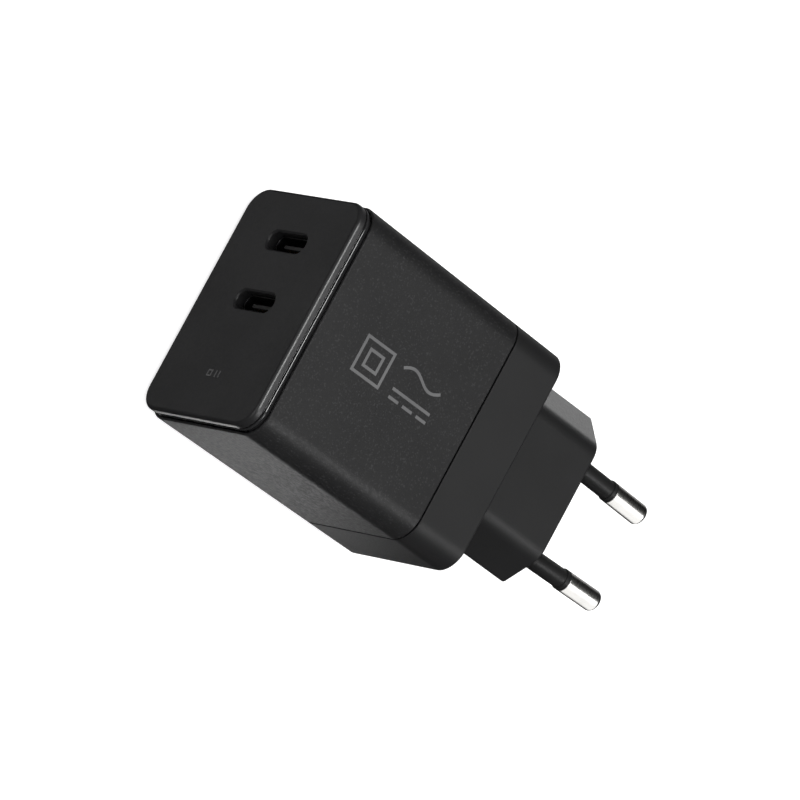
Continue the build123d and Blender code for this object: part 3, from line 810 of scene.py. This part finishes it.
@dataclass
class Ports:
    """The two outlet sockets: metal shell and tongue in each."""

    first: float = -12.5 * MM
    pitch: float = 11.6 * MM
    long: float = 11.0 * MM
    short: float = 3.5 * MM
    chamfer: float = 0.3 * MM
    shell_long: float = 8.94 * MM
    shell_short: float = 3.16 * MM
    sheet: float = 0.25 * MM
    sheet_round: float = 0.09 * MM
    base_length: float = 3.6 * MM
    tongue_width: float = 6.7 * MM
    tongue_thick: float = 0.7 * MM
    tongue_corner: float = 0.3 * MM
    tongue_flat: float = 0.25 * MM
    base_flat: float = 0.6 * MM
    trace: float = 0.001 * MM

    def centres(self) -> list[float]:
        """Where the outlets stand along X."""
        return [PLACES.centre_x + self.first + i * self.pitch for i in range(2)]

    def stadium(self, x: float, long: float, short: float) -> Outline:
        """A slot's outline with round ends, its long way along Z."""
        points, outward = rounded_rectangle(short, long, short / 2 - self.trace, 14)
        return Outline(points + np.array([x, 0.0]), outward)

    def shell(self, index: int, x: float) -> Piece:
        """One outlet's pressed metal shell, a thin closed tube."""
        low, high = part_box(f"outlet_{index}_shell")
        path = np.array([[0.0, low.y], [0.0, high.y], [self.sheet, high.y], [self.sheet, low.y]])
        skin = Skin()
        rings = self.stadium(x, self.shell_long, self.shell_short)
        skin.tube(rings.rings(soften(path, np.full(len(path), self.sheet_round), closed=True)))
        return skin.piece(f"port_{index}_shell")

    def tongue(self, index: int, x: float) -> Piece:
        """One outlet's moulded base and the tongue on it."""
        low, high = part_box(f"outlet_{index}_insulator")
        root = high.y - self.base_length
        skin = Skin()
        points, outward = rounded_rectangle(self.tongue_thick, self.tongue_width,
                                            self.tongue_corner, 6)
        flat = self.tongue_flat
        path = np.array([[flat, low.y], [0.0, low.y], [0.0, root], [flat, root]])
        blade = Outline(points + np.array([x, 0.0]), outward)
        skin.slab(blade.rings(soften(path, np.full(len(path), STEP))))
        inner = self.stadium(x, self.shell_long - 2 * self.sheet - HAIR,
                             self.shell_short - 2 * self.sheet - HAIR)
        flat = self.base_flat
        path = np.array([[flat, root], [0.0, root], [0.0, high.y], [flat, high.y]])
        skin.slab(inner.rings(soften(path, np.full(len(path), SOFT))))
        return skin.piece(f"port_{index}_tongue")

    def build(self) -> None:
        """Makes and dresses both outlets."""
        for index, x in enumerate(self.centres(), start=1):
            settle(self.shell(index, x), WARDROBE.get(Finish.PORT), "outlet_steel",
                   f"outlet_{index}_shell")
            settle(self.tongue(index, x), WARDROBE.get(Finish.TONGUE), "outlet_black",
                   f"outlet_{index}_insulator")


@dataclass
class Front:
    """The satin front plate with its pillow edge, and the glossy ring behind it."""

    inset: float = 0.45 * MM
    thickness: float = 1.5 * MM
    pillow: float = 1.4 * MM
    floor: float = 2.2 * MM
    skirt_inset: float = 2.4 * MM
    skirt_wall: float = 1.0 * MM
    skirt_length: float = 5.0 * MM
    shadow: float = 0.35 * MM
    lip: float = 0.45 * MM
    lip_round: float = 0.2 * MM
    neck_inset: float = 0.85 * MM
    groove: float = 1.0 * MM
    face_flat: float = 0.5 * MM
    tunnel_flat: float = 0.35 * MM
    tunnel_rounds: tuple[float, float] = (0.15 * MM, 0.2 * MM)

    def outline(self) -> Outline:
        """The body's rounded rectangle without its taper."""
        body = Housing().outline()
        return Outline(body.points, body.outward)

    def plate(self) -> Piece:
        """The plate: pillow-edged face, skirt, and a bevelled tunnel for each outlet."""
        front = PLACES.front_y
        step = front + self.thickness
        floor = front + self.floor
        skirt = PLACES.rim_y + self.skirt_length
        inside = self.skirt_inset + self.skirt_wall
        flat = self.inset + self.pillow + self.face_flat
        path = np.array([
            [flat, front], [self.inset, front], [self.inset, step], [self.skirt_inset, step],
            [self.skirt_inset, skirt], [inside, skirt], [inside, floor], [inside + FLAT, floor],
        ])
        radii = np.array([0.0, self.pillow, STEP] + 5 * [EDGE])
        skin = Skin()
        walls = skin.add(self.outline().rings(soften(path, radii, steps=14)))
        skin.lattice(walls)
        ports = Ports()
        bevel = ports.chamfer
        face, back = [walls[0]], [walls[-1]]
        path = np.array([
            [-bevel - self.tunnel_flat, front], [-bevel, front], [0.0, front + bevel],
            [0.0, floor], [-self.tunnel_flat, floor],
        ])
        radii = np.array([0.0, *self.tunnel_rounds, EDGE, 0.0])
        for x in ports.centres():
            slot = ports.stadium(x, ports.long, ports.short)
            tunnel = skin.add(slot.rings(soften(path, radii)))
            skin.lattice(tunnel)
            face.append(tunnel[0])
            back.append(tunnel[-1])
        skin.fill(*face)
        skin.fill(*back)
        return skin.piece("front_face")

    def ring(self) -> Piece:
        """The ring: a rounded lip set apart from the plate on a neck that stands in the groove."""
        top = PLACES.front_y + self.thickness
        lip = top + self.shadow
        seat = PLACES.rim_y + self.groove
        inner = self.skirt_inset - HAIR
        path = np.array([
            [self.neck_inset, top], [self.neck_inset, lip], [self.inset, lip],
            [self.inset, lip + self.lip], [self.neck_inset, lip + self.lip],
            [self.neck_inset, seat], [inner, seat], [inner, top],
        ])
        radii = np.full(len(path), EDGE)
        radii[2:4] = self.lip_round
        skin = Skin()
        skin.tube(self.outline().rings(soften(path, radii, closed=True, steps=6)))
        return skin.piece("gloss_ring")

    def build(self) -> None:
        """Makes and dresses the plate and the ring."""
        settle(self.plate(), WARDROBE.get(Finish.PLATE), "front_satin", "front_plate")
        settle(self.ring(), WARDROBE.get(Finish.RING), "ring_gloss", "trim_ring")


@dataclass
class Marks:
    """Plain printed signs: a double square and signs for alternating and direct current."""

    ink: float = 0.02 * MM
    stroke: float = 0.55 * MM
    square_place: tuple[float, float] = (2.2 * MM, -56.6 * MM)
    square_sides: tuple[float, float] = (7.0 * MM, 3.6 * MM)
    current_y: float = -46.0 * MM
    wave_x: float = -0.1 * MM
    line_x: float = 3.9 * MM
    dash_x: float = 5.5 * MM
    wave_height: float = 0.9 * MM
    half_line: float = 4.6 * MM
    half_dash: float = 1.2 * MM
    dash_pitch: float = 3.4 * MM
    plate_x: float = 15.8 * MM
    plate_square: float = 1.3 * MM
    plate_square_z: float = -1.5 * MM
    plate_strokes: tuple[float, float] = (0.3 * MM, 1.3 * MM)

    def raised(self, first: Array, second: Array) -> list[Array]:
        """Two flat lines at the foot of the ink, and the same two at its top in turn."""
        rows = ((first, 0.0), (second, 0.0), (second, self.ink), (first, self.ink))
        return [np.hstack([row, np.full((len(row), 1), height)]) for row, height in rows]

    def ribbon(self, skin: Skin, line: Array, width: float, lift: Matrix) -> None:
        """Adds a flat band of ink along an open line.

        The band's two edges are the line plus and minus half the width times
        the line's own normal, and its four long edges make a closed slab.
        """
        way = np.gradient(line, axis=0)
        way /= np.linalg.norm(way, axis=1, keepdims=True)
        normal = np.stack([-way[:, 1], way[:, 0]], axis=1) * width / 2
        left, right = line + normal, line - normal
        numbers = skin.add(put(np.stack(self.raised(left, right), axis=1), lift))
        skin.lattice(numbers)
        skin.faces += [numbers[0].tolist(), numbers[-1].tolist()]

    def frame(self, skin: Skin, side: float, width: float, lift: Matrix) -> None:
        """Adds a square outline: an outer and an inner square joined top and bottom."""
        corner = np.array([[1, 1], [-1, 1], [-1, -1], [1, -1]]) / 2
        outer, inner = corner * side, corner * (side - 2 * width)
        skin.tube(put(np.stack(self.raised(outer, inner)), lift))

    def shell_sign(self) -> Piece:
        """The signs on the upper broad side."""
        top = PLACES.thickness / 2
        skin = Skin()
        square = Matrix.Translation((*self.square_place, top))
        for side in self.square_sides:
            self.frame(skin, side, self.stroke, square)
        t = np.linspace(-1, 1, 41)
        wave = np.stack([self.wave_height * np.sin(np.pi * t), self.half_line * t], axis=1)
        self.ribbon(skin, wave, self.stroke, Matrix.Translation((self.wave_x, self.current_y, top)))
        line = np.array([[0.0, -self.half_line], [0.0, self.half_line]])
        self.ribbon(skin, line, self.stroke, Matrix.Translation((self.line_x, self.current_y, top)))
        row = Matrix.Translation((self.dash_x, self.current_y, top))
        for i in range(3):
            middle = (i - 1) * self.dash_pitch
            dash = np.array([[0.0, middle - self.half_dash], [0.0, middle + self.half_dash]])
            self.ribbon(skin, dash, self.stroke, row)
        return skin.piece("shell_sign")

    def plate_sign(self) -> Piece:
        """A small dim mark on the front plate: two plain strokes beside a square."""
        upright = Matrix.Rotation(math.pi / 2, 4, "X")
        face = Matrix.Translation((self.plate_x, PLACES.front_y, 0.0)) @ upright
        thin = self.stroke / 2
        half = self.plate_square / 2
        skin = Skin()
        place = face @ Matrix.Translation((0.0, self.plate_square_z, 0.0))
        self.frame(skin, self.plate_square, thin, place)
        for step in self.plate_strokes:
            self.ribbon(skin, np.array([[-half, step], [half, step]]), thin, face)
        return skin.piece("plate_sign")

    def build(self) -> None:
        """Makes and dresses the signs."""
        settle(self.shell_sign(), WARDROBE.get(Finish.INK), None)
        settle(self.plate_sign(), WARDROBE.get(Finish.INK_DIM), None)


class Inside:
    """The parts inside the housing, which keep their frame solids."""

    FINISHES = {
        Finish.CARRIER: ("pin_carrier",),
        Finish.LEAD: ("left_mains_lead", "right_mains_lead"),
        Finish.GOLD: ("outlet_1_contacts", "outlet_2_contacts"),
        Finish.BOARD: ("mains_board", "outlet_board"),
        Finish.FERRITE: ("transformer_core", "choke_core"),
        Finish.BOBBIN: ("transformer_bobbin",),
        Finish.TAPE: ("transformer_winding",),
        Finish.CAN_SLEEVE: ("bulk_capacitors",),
        Finish.CAN_BARE: ("output_capacitors",),
        Finish.WIRE: ("choke_windings",),
        Finish.FILM_CAP: ("film_capacitor",),
        Finish.DISC: ("disc_capacitor",),
        Finish.FUSE: ("fuse",),
        Finish.CHIP: ("bridge_rectifier", "optocoupler", "power_switch", "primary_controller",
                      "synchronous_rectifier", "outlet_controllers"),
        Finish.INDUCTOR: ("outlet_inductors",),
        Finish.CERAMIC: ("small_parts",),
        Finish.PAD: ("thermal_pad",),
        Finish.SPREADER: ("heat_spreader",),
        Finish.FILM: ("insulation_sheet",),
    }

    def build(self) -> None:
        """Dresses every part."""
        for finish, nodes in self.FINISHES.items():
            for node in nodes:
                dress(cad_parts[node], WARDROBE.get(finish))
                LOG.info("%s keeps its frame solid", node)


# ---------------------------------------------------------------- studio
def toward(azimuth: float, elevation: float) -> Vector:
    """The unit direction at a bearing and a height in degrees, from the front towards +X."""
    bearing, height = math.radians(azimuth), math.radians(elevation)
    across = math.cos(height)
    return Vector((across * math.sin(bearing), -across * math.cos(bearing), math.sin(height)))


@dataclass(frozen=True)
class Softbox:
    """A soft rectangular light aimed at the charger.

    Args:
        name: what it and its group of pieces are called.
        azimuth: its bearing round the charger in degrees, from the front towards +X.
        elevation: its height in degrees.
        distance: from the aim, in metres.
        width: across, in metres.
        height: up, in metres.
        power: in watts.
        beam: how wide its light spreads, in degrees.
        aim: the place it looks at, in metres.
        only: names of the pieces it lights, or none for all.
    """

    name: str
    azimuth: float
    elevation: float
    distance: float
    width: float
    height: float
    power: float
    beam: float = 180.0
    aim: tuple[float, float, float] = (0.0, -40.0 * MM, 0.0)
    only: tuple[str, ...] = ()

    def build(self) -> None:
        """Makes the light at its bearing, turns it to the aim and limits it to its pieces."""
        way = toward(self.azimuth, self.elevation)
        light = bpy.data.lights.new(self.name, "AREA")
        light.shape = "RECTANGLE"
        light.size, light.size_y = self.width, self.height
        light.energy = self.power
        light.spread = math.radians(self.beam)
        obj = stand(self.name, light)
        obj.location = Vector(self.aim) + way * self.distance
        obj.rotation_euler = way.to_track_quat("Z", "Y").to_euler()
        obj.visible_camera = False
        if self.only:
            lit = bpy.data.collections.new(self.name + "_pieces")
            for piece in self.only:
                lit.objects.link(bpy.data.objects[piece])
            obj.light_linking.receiver_collection = lit


@dataclass
class Studio:
    """The floor, the pale surroundings, the lights and the camera."""

    azimuth: float = 21.7236
    elevation: float = 54.2508
    roll: float = 100.4130
    distance: float = 1.75979
    target: tuple[float, float, float] = (0.76042 * MM, -37.98460 * MM, 1.78466 * MM)
    lens: float = 464.733
    sensor: float = 36.0
    floor_reach: float = 6.0
    floor_drop: float = 0.02 * MM
    pale: float = 0.97
    boxes: tuple[Softbox, ...] = (
        Softbox("top_box", 158.3, 54.3, 0.6, 0.4, 0.4, 0.1, 30.0, (0.0, -75.0 * MM, 0.0)),
        Softbox("key_box", 270.0, 77.0, 0.6, 0.22, 0.16, 0.8),
        Softbox("edge_box", 270.0, 80.0, 0.55, 0.3, 0.12, 2.2, only=("front_face", "gloss_ring")),
        Softbox("front_box", 15.0, 33.0, 0.6, 0.5, 0.12, 0.5),
        Softbox("plate_box", 338.3, -54.3, 0.6, 0.3, 0.3, 0.06),
        Softbox("side_box", 158.0, -54.0, 0.5, 0.05, 0.05, 0.0002, 7.0,
                (24.6 * MM, -63.0 * MM, 0.0)),
        Softbox("back_box", 232.8, -26.7, 0.6, 0.3, 0.3, 0.12),
        Softbox("nose_box", 232.8, -26.7, 0.5, 0.3, 0.3, 0.7, only=("plug_nose_shell",)),
        Softbox("pin_box", 128.0, 24.0, 0.45, 0.6, 1.3, 3.2,
                only=("left_pin_metal", "right_pin_metal")),
    )

    def camera(self) -> None:
        """Stands the camera at its bearing, turned about its own view by the roll."""
        way = toward(self.azimuth, self.elevation)
        data = bpy.data.cameras.new("view")
        data.lens, data.sensor_width = self.lens, self.sensor
        data.clip_start, data.clip_end = 0.05, 50.0
        obj = stand("view", data)
        turn = way.to_track_quat("Z", "Y").to_matrix().to_4x4()
        roll = Matrix.Rotation(math.radians(self.roll), 4, "Z")
        obj.matrix_world = Matrix.Translation(Vector(self.target) + way * self.distance) @ turn @ roll
        bpy.context.scene.camera = obj

    def floor(self) -> None:
        """Lays a plain pale floor under the charger."""
        reach = self.floor_reach
        level = FRAME_BOX[0][2] - self.floor_drop
        corners = [(-reach, -reach, level), (reach, -reach, level), (reach, reach, level),
                   (-reach, reach, level)]
        mesh = bpy.data.meshes.new("floor")
        mesh.from_pydata(corners, [], [(0, 1, 2, 3)])
        obj = stand("floor", mesh)
        tree = Tree("floor_pale")
        tone = tree.mix(tree.noise(3.0), (0.78, 0.78, 0.78), (0.8, 0.8, 0.8))
        tree.set(Base_Color=tone, Roughness=0.9, Specular_IOR_Level=0.1)
        tree.set(Emission_Color=(1.0, 1.0, 1.0), Emission_Strength=0.55)
        dress(obj, tree.material)
        obj.visible_glossy = False
        obj.visible_shadow = False

    def surroundings(self) -> None:
        """Gives the world an even pale tone that gloss does not pick up."""
        world = bpy.data.worlds.new("studio")
        bpy.context.scene.world = world
        world.use_nodes = True
        sky = world.node_tree.nodes["Background"]
        sky.inputs["Color"].default_value = (self.pale, self.pale, self.pale, 1.0)
        sky.inputs["Strength"].default_value = 1.0
        world.cycles_visibility.glossy = False

    def build(self) -> None:
        """Sets up everything round the charger."""
        bpy.context.scene.view_settings.view_transform = "Standard"
        self.camera()
        self.floor()
        self.surroundings()
        for box in self.boxes:
            box.build()


def main() -> None:
    """Builds the charger and its studio."""
    logging.basicConfig(level=logging.INFO, format="%(name)s %(message)s")
    for group in (Housing(), Nose(), Pins(), Ports(), Front(), Marks(), Inside(), Studio()):
        group.build()


if __name__ == "__main__":
    main()
